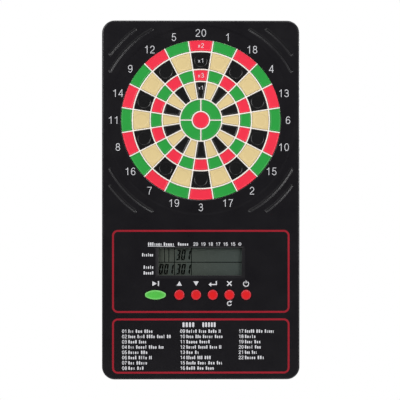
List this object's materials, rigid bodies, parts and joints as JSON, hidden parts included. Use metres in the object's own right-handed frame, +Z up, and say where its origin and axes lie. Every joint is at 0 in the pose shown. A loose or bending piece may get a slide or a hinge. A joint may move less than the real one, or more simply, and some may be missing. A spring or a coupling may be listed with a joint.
{
  "type": "electronic dartboard",
  "caption": "Slim upright wall dartboard: round segmented target that senses hits, LCD score window, push buttons and printed game list in a black case.",
  "frame": {"origin": "on the wall plane, straight behind the middle of the bullseye", "axes": "+X to the right as a player sees it, +Y into the wall, so the face looks along -Y, +Z up"},
  "size_m": [0.24, 0.0294, 0.436],
  "materials": {
    "case_black": "fine satin ABS",
    "grid_cream": "semi-gloss",
    "segment_black": "semi-gloss",
    "segment_red": "satin",
    "segment_green": "satin",
    "segment_beige": "satin",
    "cap_red": "gloss",
    "cap_green": "gloss",
    "window_clear": "clear acrylic",
    "lcd_panel": "matt polariser over grey reflective glass",
    "ink_white": "screen print",
    "ink_red": "screen print",
    "ink_black": "screen print and liquid-crystal segments",
    "inner_black": "moulded",
    "inner_white": "moulded",
    "rubber_dark": "smooth sheet",
    "rubber_grey": "silicone",
    "film_clear": "polyester film",
    "board_green": "solder mask",
    "epoxy_black": "epoxy",
    "sleeve_blue": "heat-shrink sleeve",
    "screw_steel": "zinc plated",
    "contact_nickel": "nickel plated",
    "cell_wrap": "printed film wrap",
    "wire_red": "PVC",
    "wire_black": "PVC"
  },
  "bodies": {
    "case": {"front_casing": "case_black", "rear_casing": "case_black", "segment_grid": "grid_cream", "rubber_sheet": "rubber_dark", "switch_membrane": "film_clear", "target_back_plate": "inner_black", "target_screws": "screw_steel", "window_lens": "window_clear", "lcd_glass": "lcd_panel", "lcd_holder": "inner_white", "zebra_strips": "rubber_grey", "circuit_board": "board_green", "chip_blob": "epoxy_black", "capacitors": "sleeve_blue", "buzzer": "inner_black", "membrane_connector": "inner_white", "board_screws": "screw_steel", "keypad_mat": "rubber_grey", "contact_springs": "contact_nickel", "contact_plates": "contact_nickel", "battery_cell_1": "cell_wrap", "battery_cell_2": "cell_wrap", "battery_cell_3": "cell_wrap", "positive_lead": "wire_red", "negative_lead": "wire_black", "casing_screws": "screw_steel"},
    "battery_door": {"battery_door": "case_black"},
    "sector_20": {"sector_20": "segment_black"},
    "sector_1": {"sector_1": "segment_beige"},
    "sector_18": {"sector_18": "segment_black"},
    "sector_4": {"sector_4": "segment_beige"},
    "sector_13": {"sector_13": "segment_black"},
    "sector_6": {"sector_6": "segment_beige"},
    "sector_10": {"sector_10": "segment_black"},
    "sector_15": {"sector_15": "segment_beige"},
    "sector_2": {"sector_2": "segment_black"},
    "sector_17": {"sector_17": "segment_beige"},
    "sector_3": {"sector_3": "segment_black"},
    "sector_19": {"sector_19": "segment_beige"},
    "sector_7": {"sector_7": "segment_black"},
    "sector_16": {"sector_16": "segment_beige"},
    "sector_8": {"sector_8": "segment_black"},
    "sector_11": {"sector_11": "segment_beige"},
    "sector_14": {"sector_14": "segment_black"},
    "sector_9": {"sector_9": "segment_beige"},
    "sector_12": {"sector_12": "segment_black"},
    "sector_5": {"sector_5": "segment_beige"},
    "outer_bull": {"outer_bull": "segment_green"},
    "bullseye": {"bullseye": "segment_red"},
    "next_button": {"next_button": "cap_green"},
    "up_button": {"up_button": "cap_red"},
    "down_button": {"down_button": "cap_red"},
    "enter_button": {"enter_button": "cap_red"},
    "miss_button": {"miss_button": "cap_red"},
    "power_button": {"power_button": "cap_red"}
  },
  "joints": [
    {"name": "sector_20_press", "type": "slide", "parent": "case", "child": "sector_20", "axis": [0, 1, 0], "range_m": [0, 0.001], "stiffness_N_per_m": 2500},
    {"name": "sector_1_press", "type": "slide", "parent": "case", "child": "sector_1", "axis": [0, 1, 0], "range_m": [0, 0.001], "stiffness_N_per_m": 2500},
    {"name": "sector_18_press", "type": "slide", "parent": "case", "child": "sector_18", "axis": [0, 1, 0], "range_m": [0, 0.001], "stiffness_N_per_m": 2500},
    {"name": "sector_4_press", "type": "slide", "parent": "case", "child": "sector_4", "axis": [0, 1, 0], "range_m": [0, 0.001], "stiffness_N_per_m": 2500},
    {"name": "sector_13_press", "type": "slide", "parent": "case", "child": "sector_13", "axis": [0, 1, 0], "range_m": [0, 0.001], "stiffness_N_per_m": 2500},
    {"name": "sector_6_press", "type": "slide", "parent": "case", "child": "sector_6", "axis": [0, 1, 0], "range_m": [0, 0.001], "stiffness_N_per_m": 2500},
    {"name": "sector_10_press", "type": "slide", "parent": "case", "child": "sector_10", "axis": [0, 1, 0], "range_m": [0, 0.001], "stiffness_N_per_m": 2500},
    {"name": "sector_15_press", "type": "slide", "parent": "case", "child": "sector_15", "axis": [0, 1, 0], "range_m": [0, 0.001], "stiffness_N_per_m": 2500},
    {"name": "sector_2_press", "type": "slide", "parent": "case", "child": "sector_2", "axis": [0, 1, 0], "range_m": [0, 0.001], "stiffness_N_per_m": 2500},
    {"name": "sector_17_press", "type": "slide", "parent": "case", "child": "sector_17", "axis": [0, 1, 0], "range_m": [0, 0.001], "stiffness_N_per_m": 2500},
    {"name": "sector_3_press", "type": "slide", "parent": "case", "child": "sector_3", "axis": [0, 1, 0], "range_m": [0, 0.001], "stiffness_N_per_m": 2500},
    {"name": "sector_19_press", "type": "slide", "parent": "case", "child": "sector_19", "axis": [0, 1, 0], "range_m": [0, 0.001], "stiffness_N_per_m": 2500},
    {"name": "sector_7_press", "type": "slide", "parent": "case", "child": "sector_7", "axis": [0, 1, 0], "range_m": [0, 0.001], "stiffness_N_per_m": 2500},
    {"name": "sector_16_press", "type": "slide", "parent": "case", "child": "sector_16", "axis": [0, 1, 0], "range_m": [0, 0.001], "stiffness_N_per_m": 2500},
    {"name": "sector_8_press", "type": "slide", "parent": "case", "child": "sector_8", "axis": [0, 1, 0], "range_m": [0, 0.001], "stiffness_N_per_m": 2500},
    {"name": "sector_11_press", "type": "slide", "parent": "case", "child": "sector_11", "axis": [0, 1, 0], "range_m": [0, 0.001], "stiffness_N_per_m": 2500},
    {"name": "sector_14_press", "type": "slide", "parent": "case", "child": "sector_14", "axis": [0, 1, 0], "range_m": [0, 0.001], "stiffness_N_per_m": 2500},
    {"name": "sector_9_press", "type": "slide", "parent": "case", "child": "sector_9", "axis": [0, 1, 0], "range_m": [0, 0.001], "stiffness_N_per_m": 2500},
    {"name": "sector_12_press", "type": "slide", "parent": "case", "child": "sector_12", "axis": [0, 1, 0], "range_m": [0, 0.001], "stiffness_N_per_m": 2500},
    {"name": "sector_5_press", "type": "slide", "parent": "case", "child": "sector_5", "axis": [0, 1, 0], "range_m": [0, 0.001], "stiffness_N_per_m": 2500},
    {"name": "outer_bull_press", "type": "slide", "parent": "case", "child": "outer_bull", "axis": [0, 1, 0], "range_m": [0, 0.001], "stiffness_N_per_m": 2500},
    {"name": "bullseye_press", "type": "slide", "parent": "case", "child": "bullseye", "axis": [0, 1, 0], "range_m": [0, 0.001], "stiffness_N_per_m": 1500},
    {"name": "next_button_press", "type": "slide", "parent": "case", "child": "next_button", "axis": [0, 1, 0], "range_m": [0, 0.0012], "stiffness_N_per_m": 1200},
    {"name": "up_button_press", "type": "slide", "parent": "case", "child": "up_button", "axis": [0, 1, 0], "range_m": [0, 0.0012], "stiffness_N_per_m": 1200},
    {"name": "down_button_press", "type": "slide", "parent": "case", "child": "down_button", "axis": [0, 1, 0], "range_m": [0, 0.0012], "stiffness_N_per_m": 1200},
    {"name": "enter_button_press", "type": "slide", "parent": "case", "child": "enter_button", "axis": [0, 1, 0], "range_m": [0, 0.0012], "stiffness_N_per_m": 1200},
    {"name": "miss_button_press", "type": "slide", "parent": "case", "child": "miss_button", "axis": [0, 1, 0], "range_m": [0, 0.0012], "stiffness_N_per_m": 1200},
    {"name": "power_button_press", "type": "slide", "parent": "case", "child": "power_button", "axis": [0, 1, 0], "range_m": [0, 0.0012], "stiffness_N_per_m": 1200},
    {"name": "battery_door_hinge", "type": "hinge", "parent": "case", "child": "battery_door", "pos_m": [0, 0, -0.3], "axis": [-1, 0, 0], "range_deg": [0, 80]}
  ]
}
